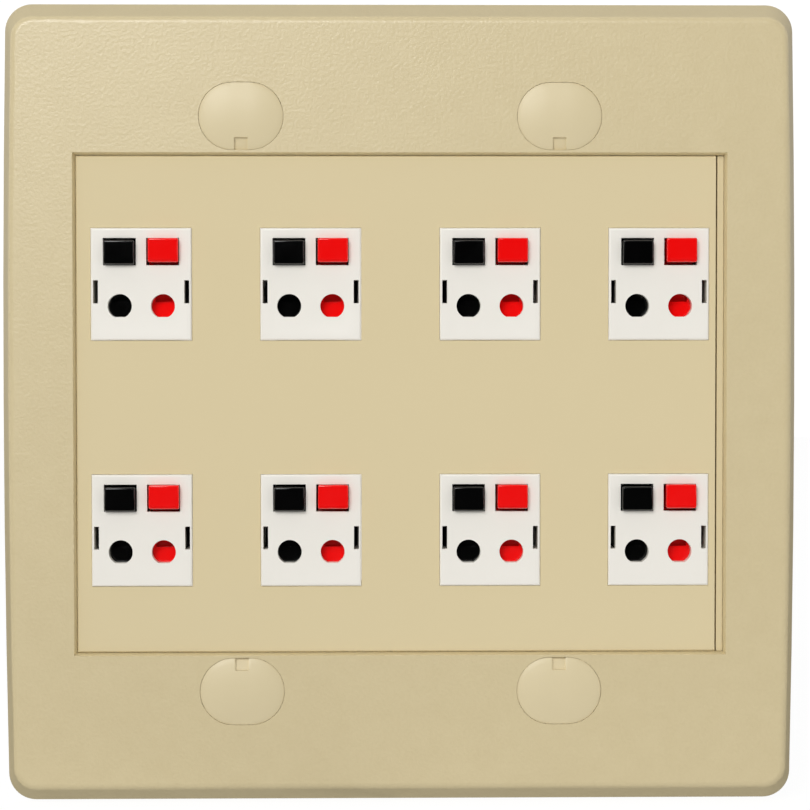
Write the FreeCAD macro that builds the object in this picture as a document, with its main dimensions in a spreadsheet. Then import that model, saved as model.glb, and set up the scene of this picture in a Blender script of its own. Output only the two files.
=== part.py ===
import FreeCAD, Part
import math
import os
from types import SimpleNamespace

import Sketcher

# Two-gang wall plate with push-button spring terminal jacks for speaker wire.
# Row frame: X to the right, Y into the wall, Z up. The plate's back rim lies in the plane y = 0,
# centred on the origin, and the front faces -Y. All lengths are in millimetres.

doc = FreeCAD.newDocument("speaker_terminal_plate")
sheet = doc.addObject("Spreadsheet::Sheet", "sizes")

DRIVING_SIZES = [
    # outer frame
    ("plate_width", 116.4, "width at the middle of the bowed sides"),
    ("plate_height", 116.8, "height of the back rim"),
    ("plate_depth", 6.0, "back rim to front face"),
    ("side_bow", 0.6, "how far each side bulges at its middle"),
    ("corner_radius", 4.0, "corner of the back rim"),
    ("front_corner_radius", 3.2, "corner of the front face"),
    ("side_draft", 1.6, "lean of the left and right walls"),
    ("end_draft", 2.6, "lean of the top and bottom walls"),
    ("edge_radius", 1.2, "rounding between walls and front"),
    ("front_wall", 2.2, "thickness of the front"),
    ("rim_wall", 1.8, "thickness of the side walls"),
    ("rib_thickness", 1.2, "stiffening ribs behind the front"),
    ("rib_depth", 2.0, "how far the ribs stand behind the front wall"),
    ("rib_pitch", 38.0, "spacing of the ribs along each side"),
    # opening for the centre panel
    ("opening_width", 94.0, "opening for the panel, below its bevel"),
    ("opening_height", 72.2, "opening for the panel, below its bevel"),
    ("opening_bevel", 0.35, "bevel round the opening"),
    ("collar_wall", 1.5, "wall that stands behind the opening"),
    ("ledge_width", 1.7, "ledge that the panel sits on"),
    ("ledge_thickness", 1.4, "ledge that the panel sits on"),
    # box screws and the caps over them
    ("screw_pitch_x", 46.04, "standard two-gang box screw spacing across"),
    ("screw_pitch_z", 83.34, "standard device box screw spacing up and down"),
    ("cap_width", 12.0, "cap over a screw, long way"),
    ("cap_height", 9.5, "cap over a screw, short way"),
    ("cap_gap", 0.15, "clearance round a cap in its pocket"),
    ("cap_edge", 1.3, "thickness of the cap at its edge"),
    ("cap_crown", 0.55, "how much the cap is thicker in its middle"),
    ("cap_sink", 0.1, "how far the cap's edge lies below the front"),
    ("cap_leg", 0.9, "thickness of the cap's snap legs"),
    ("cap_leg_width", 3.6, "width of the cap's snap legs"),
    ("cap_catch", 0.3, "how far the cap's catches reach into the wall"),
    ("notch_width", 1.9, "pry notch in the cap's edge"),
    ("notch_length", 1.7, "pry notch in the cap's edge"),
    ("notch_depth", 0.7, "pry notch in the cap's edge"),
    ("pocket_depth", 3.4, "front face to the floor under a cap"),
    ("pocket_floor", 1.6, "thickness of that floor"),
    ("pocket_wall", 1.25, "wall round a cap's pocket"),
    ("screw_hole_radius", 2.1, "hole in the pocket floor"),
    ("thread_radius", 1.75, "outside of the screw's thread"),
    ("thread_length", 20.0, "screw behind the wall plane"),
    ("neck_radius", 1.45, "plain neck under the screw's head"),
    ("head_radius", 3.45, "screw head"),
    ("head_height", 1.5, "screw head"),
    ("driver_slot_width", 1.0, "slot in the screw head"),
    ("driver_slot_depth", 0.8, "slot in the screw head"),
    # centre panel
    ("panel_recess", 0.8, "front face to panel face"),
    ("panel_thickness", 1.8, "plate of the panel"),
    ("panel_gap_left", 0.1, "gap beside the panel, left"),
    ("panel_gap_right", 0.7, "gap beside the panel, right"),
    ("panel_gap_ends", 0.15, "gap above and below the panel"),
    ("panel_edge", 0.2, "bevel round the panel's face"),
    ("hook_width", 6.0, "snap hooks of the panel"),
    ("hook_leg", 1.2, "thickness of a hook"),
    ("hook_catch", 0.7, "how far a hook reaches behind the ledge"),
    ("hook_gap", 0.15, "clearance between hook and ledge"),
    ("hook_length", 2.9, "how far the hooks stand behind the panel"),
    ("hook_pitch", 32.0, "spacing of the hooks along the panel"),
    # places of the jacks on the panel
    ("inner_column", 13.0, "inner columns of jacks, from the middle"),
    ("outer_column", 37.5, "outer columns of jacks, from the middle"),
    ("row_pitch", 35.7, "upper row to lower row"),
    ("row_drop", 0.4, "middle of the rows below the middle of the plate"),
    ("jack_gap", 0.1, "clearance round a jack in its opening"),
    ("jack_proud", 0.4, "how far a jack's face stands out of the panel"),
    # housing of a jack
    ("jack_width", 14.45, "face of the housing"),
    ("jack_height", 16.1, "face of the housing"),
    ("jack_depth", 20.0, "length of the housing"),
    ("jack_edge", 0.35, "rounding round the face"),
    ("face_wall", 1.5, "thickness of the face"),
    ("side_wall", 0.9, "left and right walls of the housing"),
    ("end_wall", 1.2, "top and bottom walls of the housing"),
    ("partition", 1.0, "wall between the two poles"),
    ("recess_depth", 0.6, "lower zone of the face"),
    ("recess_margin", 1.2, "raised border beside the lower zone"),
    ("recess_foot", 0.65, "raised border under the lower zone"),
    ("saddle_top", 2.4, "where the slope into the lower zone starts"),
    ("saddle_foot", 0.5, "where the slope ends"),
    ("pole_offset", 3.12, "middle of the housing to each pole"),
    ("window_width", 4.75, "window for a button"),
    ("window_height", 3.95, "window for a button"),
    ("window_rise", 4.7, "middle of the housing up to the windows"),
    ("wire_hole_radius", 1.75, "wire entry"),
    ("wire_hole_flat", 1.58, "wire entry, middle to its flat bottom"),
    ("wire_hole_drop", 3.17, "middle of the housing down to the wire entries"),
    ("slot_width", 0.64, "side slots of the face"),
    ("slot_height", 3.35, "side slots of the face"),
    ("slot_offset", 6.55, "middle of the housing to a side slot"),
    ("slot_drop", 1.1, "middle of the housing down to the side slots"),
    ("slot_depth", 5.6, "side slots, from the face"),
    # latch of a jack and the ledges that it holds
    ("well_clearance", 0.2, "clearance between jack and ledges"),
    ("well_wall", 1.2, "walls behind each opening of the panel"),
    ("seat_front", 8.3, "jack's face to the front of the ledges"),
    ("seat_thickness", 1.6, "thickness of the ledges"),
    ("seat_gap", 0.15, "play of a ledge between its stops"),
    ("lug_height", 1.3, "fixed lugs under the housing"),
    ("lug_thickness", 1.5, "fixed lugs under the housing"),
    ("lug_width", 10.0, "fixed lugs under the housing"),
    ("latch_root", 3.0, "jack's face to the root of the latch"),
    ("latch_gap", 0.85, "space under the latch arm"),
    ("latch_thickness", 1.0, "latch arm"),
    ("latch_catch", 1.3, "height of the catch on the latch arm"),
    ("latch_width", 7.0, "latch arm"),
    ("latch_length", 12.4, "latch arm, root to finger grip"),
    # buttons
    ("button_width", 4.4, "head of a button"),
    ("button_height", 3.5, "head of a button"),
    ("button_proud", 1.2, "how far a button stands out of the face"),
    ("button_shift", 0.12, "head beside the middle of its window"),
    ("button_lift", 0.17, "head above the middle of its window"),
    ("button_edge", 0.25, "rounding of the head"),
    ("button_bevel", 0.6, "slope at the foot of the head"),
    ("leg_width", 4.2, "leg that reaches down behind the wire entry"),
    ("leg_gap", 0.1, "leg behind the face wall"),
    ("leg_thickness", 2.0, "leg"),
    ("leg_top", 6.4, "top of the leg above the middle of the housing"),
    ("leg_bottom", 5.6, "foot of the leg below the middle of the housing"),
    ("passage_width", 2.4, "passage for the bared wire"),
    ("passage_top", 1.1, "passage below the middle of the housing"),
    ("passage_bottom", 2.55, "passage below the middle of the housing"),
    ("stem_width", 2.4, "stem that pushes the spring"),
    ("stem_height", 2.0, "stem that pushes the spring"),
    ("stem_end", 6.5, "jack's face to the end of the stem"),
    # spring contacts
    ("strip_thickness", 0.35, "spring strip"),
    ("strip_width", 3.6, "spring strip"),
    ("strip_drop", 5.2, "middle of the housing down to the strip"),
    ("bend_depth", 8.0, "jack's face to the bend"),
    ("leaf_lean", 1.3, "how far the leaf leans forward"),
    ("leaf_top", 5.6, "top of the leaf above the middle of the housing"),
    ("bend_radius", 0.4, "inside of the bend"),
    ("tab_end", 28.0, "jack's face to the end of the solder tab"),
    ("tab_hole_radius", 0.9, "hole in the solder tab"),
    ("tab_hole_inset", 2.0, "hole from the end of the tab"),
    ("tab_slot_gap", 0.12, "clearance round a tab in the back"),
    # rear cover of a jack
    ("back_thickness", 1.6, "plate of the rear cover"),
    ("plug_depth", 1.6, "plug of the rear cover inside the housing"),
    ("plug_gap", 0.12, "clearance round the plug"),
    ("arm_thickness", 0.75, "side arms of the rear cover"),
    ("arm_tip", 4.0, "jack's face to the tips of the arms"),
    ("barb_height", 0.5, "barbs in the side slots"),
    ("barb_ramp", 0.9, "sloped part of a barb"),
    ("barb_gap", 0.1, "play of a barb in its slot"),
]


class Size:
    """A length that carries both its number and the sheet formula that gives it."""

    def __init__(self, number, formula):
        self.number = number
        self.formula = formula

    def __add__(self, other):
        other = as_size(other)
        return Size(self.number + other.number, f"({self.formula} + {other.formula})")

    def __sub__(self, other):
        other = as_size(other)
        return Size(self.number - other.number, f"({self.formula} - {other.formula})")

    def __mul__(self, other):
        other = as_size(other)
        return Size(self.number * other.number, f"({self.formula} * {other.formula})")

    def __truediv__(self, other):
        other = as_size(other)
        return Size(self.number / other.number, f"({self.formula} / {other.formula})")

    def __neg__(self):
        return Size(-self.number, f"(0 - {self.formula})")

    def __radd__(self, other):
        return as_size(other) + self

    def __rsub__(self, other):
        return as_size(other) - self

    def __rmul__(self, other):
        return as_size(other) * self


def as_size(value):
    return value if isinstance(value, Size) else Size(float(value), f"({float(value)})")


def root(value):
    return Size(math.sqrt(value.number), f"sqrt({value.formula})")


for row, (alias, number, note) in enumerate(DRIVING_SIZES, start=1):
    sheet.set(f"A{row}", note)
    sheet.set(f"B{row}", str(number))
    sheet.setAlias(f"B{row}", alias)
doc.recompute()
s = SimpleNamespace(**{alias: Size(number, f"sizes.{alias}") for alias, number, note in DRIVING_SIZES})

# Drawing on the origin planes of a body

FRONT = "XZ_Plane"
SIDE = "YZ_Plane"
TOP = "XY_Plane"


class Drawing:
    """Curves, constraints and formulas of one sketch, put into the sketch together."""

    def __init__(self):
        self.curves = []
        self.constraints = []
        self.formulas = {}

    def curve(self, curve):
        self.curves.append(curve)
        return len(self.curves) - 1

    def rule(self, *words):
        self.constraints.append(Sketcher.Constraint(*words))

    def measure(self, *words):
        value = words[-1]
        self.formulas[len(self.constraints)] = value.formula
        self.rule(*words[:-1], value.number)

    def fix(self, curve, end, across=None, up=None):
        """Dimensions one end of a curve from the sketch's origin."""
        for word, value in (("DistanceX", across), ("DistanceY", up)):
            if value is not None:
                self.measure(word, -1, 1, curve, end, as_size(value))


def vector(across, up):
    return FreeCAD.Vector(as_size(across).number, as_size(up).number, 0)


def polygon(*corners):
    """A closed outline of straight lines, with every corner dimensioned."""
    def draw(drawing):
        points = [vector(*corner) for corner in corners]
        lines = [drawing.curve(Part.LineSegment(point, points[(index + 1) % len(points)]))
                 for index, point in enumerate(points)]
        for index, line in enumerate(lines):
            drawing.rule("Coincident", line, 2, lines[(index + 1) % len(lines)], 1)
            drawing.fix(line, 1, *corners[index])
    return draw


def rectangle(left, right, low, high):
    def draw(drawing):
        corners = [(left, low), (right, low), (right, high), (left, high)]
        points = [vector(*corner) for corner in corners]
        lines = [drawing.curve(Part.LineSegment(points[index], points[(index + 1) % 4])) for index in range(4)]
        for index, line in enumerate(lines):
            drawing.rule("Coincident", line, 2, lines[(index + 1) % 4], 1)
            drawing.rule(("Horizontal", "Vertical")[index % 2], line)
        drawing.fix(lines[0], 1, left, low)
        drawing.fix(lines[2], 1, right, high)
    return draw


def centred(across, up, width, height):
    return rectangle(across - width / 2, across + width / 2, up - height / 2, up + height / 2)


def circle(across, up, radius):
    def draw(drawing):
        ring = drawing.curve(Part.Circle(vector(across, up), FreeCAD.Vector(0, 0, 1), radius.number))
        drawing.fix(ring, 3, across, up)
        drawing.measure("Radius", ring, radius)
    return draw


def arc(centre, radius, start, end):
    """An arc from its start angle to its end angle, in degrees, counterclockwise."""
    full = Part.Circle(centre, FreeCAD.Vector(0, 0, 1), radius)
    return Part.ArcOfCircle(full, math.radians(start), math.radians(end))


def obround(across, up, width, height):
    """Two half circles joined by straight lines, the long way across."""
    def draw(drawing):
        half = (width - height) / 2
        radius = height / 2
        right = drawing.curve(arc(vector(across + half, up), radius.number, -90, 90))
        left = drawing.curve(arc(vector(across - half, up), radius.number, 90, 270))
        high = drawing.curve(Part.LineSegment(vector(across + half, up + radius), vector(across - half, up + radius)))
        low = drawing.curve(Part.LineSegment(vector(across - half, up - radius), vector(across + half, up - radius)))
        for first, second in ((right, high), (high, left), (left, low), (low, right)):
            drawing.rule("Tangent", first, 2, second, 1)
        drawing.fix(right, 3, across + half, up)
        drawing.fix(left, 3, across - half, up)
        drawing.measure("Radius", right, radius)
    return draw


def flat_bottomed_hole(across, up, radius, flat):
    """A round hole whose foot is cut off straight at the given distance under its middle."""
    def draw(drawing):
        reach = root(radius * radius - flat * flat)
        lean = math.degrees(math.asin(flat.number / radius.number))
        ring = drawing.curve(arc(vector(across, up), radius.number, -lean, 180 + lean))
        foot = drawing.curve(Part.LineSegment(vector(across - reach, up - flat), vector(across + reach, up - flat)))
        drawing.rule("Coincident", ring, 2, foot, 1)
        drawing.rule("Coincident", foot, 2, ring, 1)
        drawing.rule("Horizontal", foot)
        drawing.fix(ring, 3, across, up)
        drawing.measure("Radius", ring, radius)
        drawing.fix(foot, 1, None, up - flat)
    return draw


def bowed_outline(width, height, bow, corner):
    """Straight top and bottom, sides that are shallow arcs, and round corners tangent to both."""
    def draw(drawing):
        side_radius = (height * height / 4 + bow * bow) / (2 * bow)
        side_centre = side_radius - width / 2
        corner_up = height / 2 - corner
        reach = root((side_radius - corner) * (side_radius - corner) - corner_up * corner_up)
        corner_across = reach - side_centre
        lean = math.degrees(math.asin(corner_up.number / (side_radius - corner).number))
        up, across = corner_up.number, corner_across.number
        radius = corner.number
        centre = side_centre.number
        curves = [
            Part.LineSegment(FreeCAD.Vector(-across, -up - radius, 0), FreeCAD.Vector(across, -up - radius, 0)),
            arc(FreeCAD.Vector(across, -up, 0), radius, -90, -lean),
            arc(FreeCAD.Vector(-centre, 0, 0), side_radius.number, -lean, lean),
            arc(FreeCAD.Vector(across, up, 0), radius, lean, 90),
            Part.LineSegment(FreeCAD.Vector(across, up + radius, 0), FreeCAD.Vector(-across, up + radius, 0)),
            arc(FreeCAD.Vector(-across, up, 0), radius, 90, 180 - lean),
            arc(FreeCAD.Vector(centre, 0, 0), side_radius.number, 180 - lean, 180 + lean),
            arc(FreeCAD.Vector(-across, -up, 0), radius, 180 + lean, 270),
        ]
        places = [drawing.curve(curve) for curve in curves]
        for index, place in enumerate(places):
            drawing.rule("Tangent", place, 2, places[(index + 1) % len(places)], 1)
        for index in (1, 3, 5, 7):
            drawing.measure("Radius", places[index], corner)
        drawing.fix(places[0], 1, None, -height / 2)
        drawing.fix(places[4], 1, None, height / 2)
        drawing.fix(places[2], 3, -side_centre, 0)
        drawing.fix(places[6], 3, side_centre, 0)
        drawing.measure("Radius", places[2], side_radius)
        drawing.measure("Radius", places[6], side_radius)
    return draw


def sketch(body, name, plane, start, shapes):
    """A sketch parallel to one of the body's origin planes, at a distance along its axis."""
    drawing = Drawing()
    for draw in shapes:
        draw(drawing)
    made = body.newObject("Sketcher::SketchObject", name)
    origin_plane = next(item for item in body.Origin.OriginFeatures if item.Role == plane)
    made.AttachmentSupport = [(origin_plane, "")]
    made.MapMode = "FlatFace"
    offset = as_size(start)
    if plane == FRONT:
        offset = -offset
    made.setExpression("AttachmentOffset.Base.z", offset.formula)
    made.addGeometry(drawing.curves, False)
    made.addConstraint(drawing.constraints)
    for index, formula in drawing.formulas.items():
        made.setExpression(f"Constraints[{index}]", formula)
    return made


def extrude(kind, body, name, plane, start, end, shapes):
    """A pad or a pocket that runs from start to end along the plane's axis."""
    profile = sketch(body, f"{name}_sketch", plane, start, shapes)
    feature = body.newObject(f"PartDesign::{kind}", name)
    feature.Profile = profile
    feature.Type = "Length"
    feature.setExpression("Length", (as_size(end) - start).formula)
    feature.Reversed = (kind == "Pad") == (plane == FRONT)
    return feature


def pad(body, name, plane, start, end, *shapes):
    return extrude("Pad", body, name, plane, start, end, shapes)


def pocket(body, name, plane, start, end, *shapes):
    return extrude("Pocket", body, name, plane, start, end, shapes)


def loft(kind, body, name, plane, sections):
    """A ruled loft through outlines at given distances along the plane's axis."""
    profiles = [sketch(body, f"{name}_section_{index}", plane, place, [shape])
                for index, (place, shape) in enumerate(sections)]
    feature = body.newObject(f"PartDesign::{kind}", name)
    feature.Profile = profiles[0]
    feature.Sections = profiles[1:]
    feature.Ruled = True
    return feature


def revolve(body, name, plane, start, axis, angle, *shapes):
    profile = sketch(body, f"{name}_sketch", plane, start, shapes)
    feature = body.newObject("PartDesign::Revolution", name)
    feature.Profile = profile
    feature.ReferenceAxis = (profile, [axis])
    feature.Angle = angle
    return feature


def dress(kind, body, name, value, wanted):
    """A fillet or chamfer on the edges of the body's last feature that the test picks."""
    base = body.Tip
    base.recompute(True)
    edges = [f"Edge{index}" for index, edge in enumerate(base.Shape.Edges, start=1) if wanted(edge)]
    feature = body.newObject(f"PartDesign::{kind}", name)
    feature.Base = (base, edges)
    feature.setExpression("Radius" if kind == "Fillet" else "Size", as_size(value).formula)
    return feature


def near(value, place):
    return abs(value - as_size(place).number) < 0.01


def flat_at(edge, place):
    """Whether the whole edge lies in the plane across Y at the given depth."""
    box = edge.BoundBox
    return near(box.YMin, place) and near(box.YMax, place)


def new_body(label, across=0, depth=0, up=0):
    body = doc.addObject("PartDesign::Body", label)
    body.Label = label
    for axis, value in (("x", across), ("y", depth), ("z", up)):
        body.setExpression(f"Placement.Base.{axis}", as_size(value).formula)
    return body


def clone_of(original, label, across, depth, up, turned=False):
    """Another copy of a piece at its own place, turned upside down about Y where asked."""
    body = new_body(label, across, depth, up)
    form = doc.addObject("PartDesign::FeatureBase", f"{label}_form")
    form.BaseFeature = original
    body.Group = [form]
    body.Tip = form
    if turned:
        body.Placement.Rotation = FreeCAD.Rotation(FreeCAD.Vector(0, 1, 0), 180)
    return body


# Places shared by several pieces, all as distances along Y from the wall plane

front_face = -s.plate_depth
front_back = front_face + s.front_wall
panel_face = front_face + s.panel_recess
panel_back = panel_face + s.panel_thickness
ledge_back = panel_back + s.ledge_thickness
pocket_floor_front = front_face + s.pocket_depth
pocket_floor_back = pocket_floor_front + s.pocket_floor
jack_face = panel_face - s.jack_proud
pocket_width = s.cap_width + 2 * s.cap_gap
pocket_height = s.cap_height + 2 * s.cap_gap
screw_places = [(side * s.screw_pitch_x / 2, end * s.screw_pitch_z / 2) for end in (1, -1) for side in (-1, 1)]
columns = [-s.outer_column, -s.inner_column, s.inner_column, s.outer_column]
rows = [s.row_pitch / 2 - s.row_drop, -s.row_pitch / 2 - s.row_drop]
jack_places = [(column, row) for row in rows for column in columns]
cap_catch_front = pocket_floor_front - 1.0
cap_catch_back = pocket_floor_front - 0.2


# Outer frame: one moulding with leaning walls, a stepped opening and four screw pockets

def make_frame():
    body = new_body("frame")

    def outline(depth, inset, corner):
        share = depth / s.plate_depth
        return bowed_outline(s.plate_width - 2 * inset - 2 * share * s.side_draft,
                             s.plate_height - 2 * inset - 2 * share * s.end_draft,
                             s.side_bow, corner - inset)

    loft("AdditiveLoft", body, "leaning_walls", FRONT,
         [(0, outline(as_size(0), as_size(0), s.corner_radius)),
          (front_face, outline(s.plate_depth, as_size(0), s.front_corner_radius))])
    dress("Fillet", body, "front_edge", s.edge_radius, lambda edge: flat_at(edge, front_face))
    loft("SubtractiveLoft", body, "hollow_back", FRONT,
         [(0, outline(as_size(0), s.rim_wall, s.corner_radius)),
          (front_back, outline(s.plate_depth - s.front_wall, s.rim_wall, s.front_corner_radius))])

    collar_width = s.opening_width + 2 * s.collar_wall
    collar_height = s.opening_height + 2 * s.collar_wall
    pad(body, "collar", FRONT, front_back, ledge_back, centred(0, 0, collar_width, collar_height))
    pad(body, "screw_pocket_walls", FRONT, front_back, pocket_floor_back,
        *[obround(across, up, pocket_width + 2 * s.pocket_wall, pocket_height + 2 * s.pocket_wall)
          for across, up in screw_places])

    rib_back = front_back + s.rib_depth
    side_ribs = [rectangle(*(sorted((side * collar_width / 2, side * (s.plate_width / 2 - s.rim_wall)),
                                    key=lambda place: place.number)),
                           up - s.rib_thickness / 2, up + s.rib_thickness / 2)
                 for side in (-1, 1) for up in (-s.rib_pitch / 2, as_size(0), s.rib_pitch / 2)]
    end_ribs = [rectangle(across - s.rib_thickness / 2, across + s.rib_thickness / 2,
                          *sorted((end * collar_height / 2, end * (s.plate_height / 2 - s.end_draft)),
                                  key=lambda place: place.number))
                for end in (-1, 1) for across in (-s.rib_pitch, as_size(0), s.rib_pitch)]
    pad(body, "stiffening_ribs", FRONT, front_back, rib_back, *side_ribs, *end_ribs)

    pocket(body, "panel_seat", FRONT, front_face, panel_back, centred(0, 0, s.opening_width, s.opening_height))
    pocket(body, "panel_window", FRONT, front_face, ledge_back,
           centred(0, 0, s.opening_width - 2 * s.ledge_width, s.opening_height - 2 * s.ledge_width))
    dress("Chamfer", body, "opening_edge", s.opening_bevel,
          lambda edge: flat_at(edge, front_face)
          and (near(abs(edge.CenterOfMass.x), s.opening_width / 2)
               or near(abs(edge.CenterOfMass.z), s.opening_height / 2)))
    pocket(body, "cap_pockets", FRONT, front_face, pocket_floor_front,
           *[obround(across, up, pocket_width, pocket_height) for across, up in screw_places])
    pocket(body, "screw_holes", FRONT, front_face, pocket_floor_back,
           *[circle(across, up, s.screw_hole_radius) for across, up in screw_places])
    pocket(body, "catch_grooves", FRONT, cap_catch_front, cap_catch_back,
           *[centred(across, up, pocket_width + 2 * s.cap_catch, s.cap_leg_width + 2 * s.cap_gap)
             for across, up in screw_places])
    return body


# Centre panel: a plate with snap hooks and, behind each opening, two ledges that hold a jack

def make_centre_panel():
    body = new_body("centre_panel")
    left = s.panel_gap_left - s.opening_width / 2
    right = s.opening_width / 2 - s.panel_gap_right
    half_height = s.opening_height / 2 - s.panel_gap_ends
    pad(body, "plate", FRONT, panel_face, panel_back, rectangle(left, right, -half_height, half_height))
    dress("Chamfer", body, "face_edge", s.panel_edge, lambda edge: flat_at(edge, panel_face))
    pocket(body, "jack_openings", FRONT, panel_face, panel_back,
           *[centred(across, up, s.jack_width + 2 * s.jack_gap, s.jack_height + 2 * s.jack_gap)
             for across, up in jack_places])

    half_width = s.jack_width / 2 + s.well_clearance
    half_jack = s.jack_height / 2
    upper_ledge = half_jack + s.latch_gap + s.latch_thickness + s.seat_gap
    upper_wall = half_jack + s.latch_gap + s.latch_thickness + s.latch_catch + s.well_clearance
    lower_ledge = half_jack + s.well_clearance
    lower_wall = half_jack + s.lug_height + s.well_clearance
    ledge_front = jack_face + s.seat_front
    well_back = ledge_front + s.seat_thickness
    pad(body, "well_walls", FRONT, panel_back, well_back,
        *[rectangle(across - half_width, across + half_width, up + upper_wall, up + upper_wall + s.well_wall)
          for across, up in jack_places],
        *[rectangle(across - half_width, across + half_width, up - lower_wall - s.well_wall, up - lower_wall)
          for across, up in jack_places])
    pad(body, "well_ledges", FRONT, ledge_front, well_back,
        *[rectangle(across - half_width, across + half_width, up + upper_ledge, up + upper_wall + s.well_wall)
          for across, up in jack_places],
        *[rectangle(across - half_width, across + half_width, up - lower_wall - s.well_wall, up - lower_ledge)
          for across, up in jack_places])

    hook_end = panel_back + s.hook_length
    catch_front = ledge_back + s.hook_gap

    def hook(edge, side):
        """Outline of a leg that passes a ledge edge and hooks behind it, on either side."""
        outer = edge - s.hook_gap
        inner = outer - s.hook_leg
        tip = outer + s.hook_gap + s.hook_catch
        corners = [(panel_back, inner), (panel_back, outer), (catch_front, outer), (catch_front, tip),
                   (hook_end, outer), (hook_end, inner)]
        return [(depth, side * place) for depth, place in corners]

    end_edge = s.opening_height / 2 - s.ledge_width
    side_edge = s.opening_width / 2 - s.ledge_width
    for name, across in (("left", -s.hook_pitch), ("middle", as_size(0)), ("right", s.hook_pitch)):
        pad(body, f"{name}_hooks", SIDE, across - s.hook_width / 2, across + s.hook_width / 2,
            polygon(*hook(end_edge, 1)), polygon(*hook(end_edge, -1)))
    pad(body, "side_hooks", TOP, -s.hook_width / 2 - s.row_drop, s.hook_width / 2 - s.row_drop,
        *[polygon(*[(place, depth) for depth, place in hook(side_edge, side)]) for side in (-1, 1)])
    return body


# Caps: snap-in covers over the screws, domed, with a pry notch towards the centre panel

def make_cap(label, across, up):
    """The cap of an upper pocket, whose notch is in its lower edge."""
    body = new_body(label, across, front_face, up)
    half_straight = (s.cap_width - s.cap_height) / 2
    radius = s.cap_height / 2
    edge_front = s.cap_sink
    edge_back = edge_front + s.cap_edge
    dome_radius = (radius * radius + s.cap_crown * s.cap_crown) / (2 * s.cap_crown)
    crown_front = edge_front - s.cap_crown

    def half_section(drawing):
        """Half of the cap's section: flat back, short edge and domed front, from its axis outwards."""
        centre = crown_front + dome_radius
        lean = math.degrees(math.asin(radius.number / dome_radius.number))
        back = drawing.curve(Part.LineSegment(vector(edge_back, 0), vector(edge_back, radius)))
        edge = drawing.curve(Part.LineSegment(vector(edge_back, radius), vector(edge_front, radius)))
        dome = drawing.curve(arc(vector(centre, 0), dome_radius.number, 180 - lean, 180))
        axis = drawing.curve(Part.LineSegment(vector(crown_front, 0), vector(edge_back, 0)))
        drawing.rule("Coincident", back, 2, edge, 1)
        drawing.rule("Coincident", edge, 2, dome, 1)
        drawing.rule("Coincident", dome, 2, axis, 1)
        drawing.rule("Coincident", axis, 2, back, 1)
        drawing.rule("Vertical", back)
        drawing.rule("Horizontal", edge)
        drawing.fix(back, 1, edge_back, 0)
        drawing.fix(edge, 2, edge_front, radius)
        drawing.fix(dome, 3, None, 0)
        drawing.fix(axis, 1, crown_front, 0)

    def section(drawing):
        """The whole section, for the straight middle of the cap."""
        centre = crown_front + dome_radius
        lean = math.degrees(math.asin(radius.number / dome_radius.number))
        low = drawing.curve(Part.LineSegment(vector(edge_front, -radius), vector(edge_back, -radius)))
        back = drawing.curve(Part.LineSegment(vector(edge_back, -radius), vector(edge_back, radius)))
        high = drawing.curve(Part.LineSegment(vector(edge_back, radius), vector(edge_front, radius)))
        dome = drawing.curve(arc(vector(centre, 0), dome_radius.number, 180 - lean, 180 + lean))
        for first, second in ((low, back), (back, high), (high, dome), (dome, low)):
            drawing.rule("Coincident", first, 2, second, 1)
        drawing.rule("Vertical", back)
        drawing.fix(low, 1, edge_front, -radius)
        drawing.fix(low, 2, edge_back, -radius)
        drawing.fix(high, 1, None, radius)
        drawing.fix(high, 2, edge_front, radius)
        drawing.fix(dome, 3, centre, None)

    pad(body, "middle", SIDE, -half_straight, half_straight, section)
    for name, place, outward in (("right_end", half_straight, False), ("left_end", -half_straight, True)):
        end = revolve(body, name, SIDE, place, "H_Axis", 180, half_section)
        end.Reversed = outward
    leg_end = s.pocket_depth - s.cap_gap
    pocket_radius = pocket_height / 2
    half_leg = s.cap_leg_width / 2
    leg_outer = half_straight + root(pocket_radius * pocket_radius - half_leg * half_leg) - s.cap_gap
    catch_tip = pocket_width / 2 + s.cap_catch - s.cap_gap
    catch_front = cap_catch_front - front_face + s.cap_gap
    catch_back = cap_catch_back - front_face - s.cap_gap / 2
    leg = [(leg_outer - s.cap_leg, edge_back - s.cap_edge / 2), (leg_outer, edge_back - s.cap_edge / 2),
           (leg_outer, catch_front), (catch_tip, catch_front),
           (leg_outer, catch_back), (leg_outer, leg_end), (leg_outer - s.cap_leg, leg_end)]
    pad(body, "snap_legs", TOP, -half_leg, half_leg,
        *[polygon(*[(side * place, depth) for place, depth in leg]) for side in (-1, 1)])
    pocket(body, "pry_notch", FRONT, crown_front, edge_front + s.notch_depth,
           rectangle(-s.notch_width / 2, s.notch_width / 2, -radius - s.cap_gap, s.notch_length - radius))
    return body


# Screws: slotted head on the pocket floor, plain neck through the frame, thread into the wall box

def make_screw(label, across, up):
    body = new_body(label, across, pocket_floor_front, up)
    thread_start = -pocket_floor_front
    tip = thread_start + s.thread_length
    lead = s.thread_radius - s.neck_radius + s.thread_radius / 4
    head_edge = s.head_height / 3
    revolve(body, "turned_form", TOP, 0, "V_Axis", 360,
            polygon((0, -s.head_height), (s.head_radius - head_edge, -s.head_height),
                    (s.head_radius, head_edge - s.head_height), (s.head_radius, 0), (s.neck_radius, 0),
                    (s.neck_radius, thread_start), (s.thread_radius, thread_start),
                    (s.thread_radius, tip - lead), (s.thread_radius - lead, tip), (0, tip)))
    pocket(body, "driver_slot", FRONT, -s.head_height, s.driver_slot_depth - s.head_height,
           centred(0, 0, 2 * s.head_radius + s.driver_slot_width, s.driver_slot_width))
    return body


# Jack: its own frame has X to the right, Y backwards from the face and Z up from the middle

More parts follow.
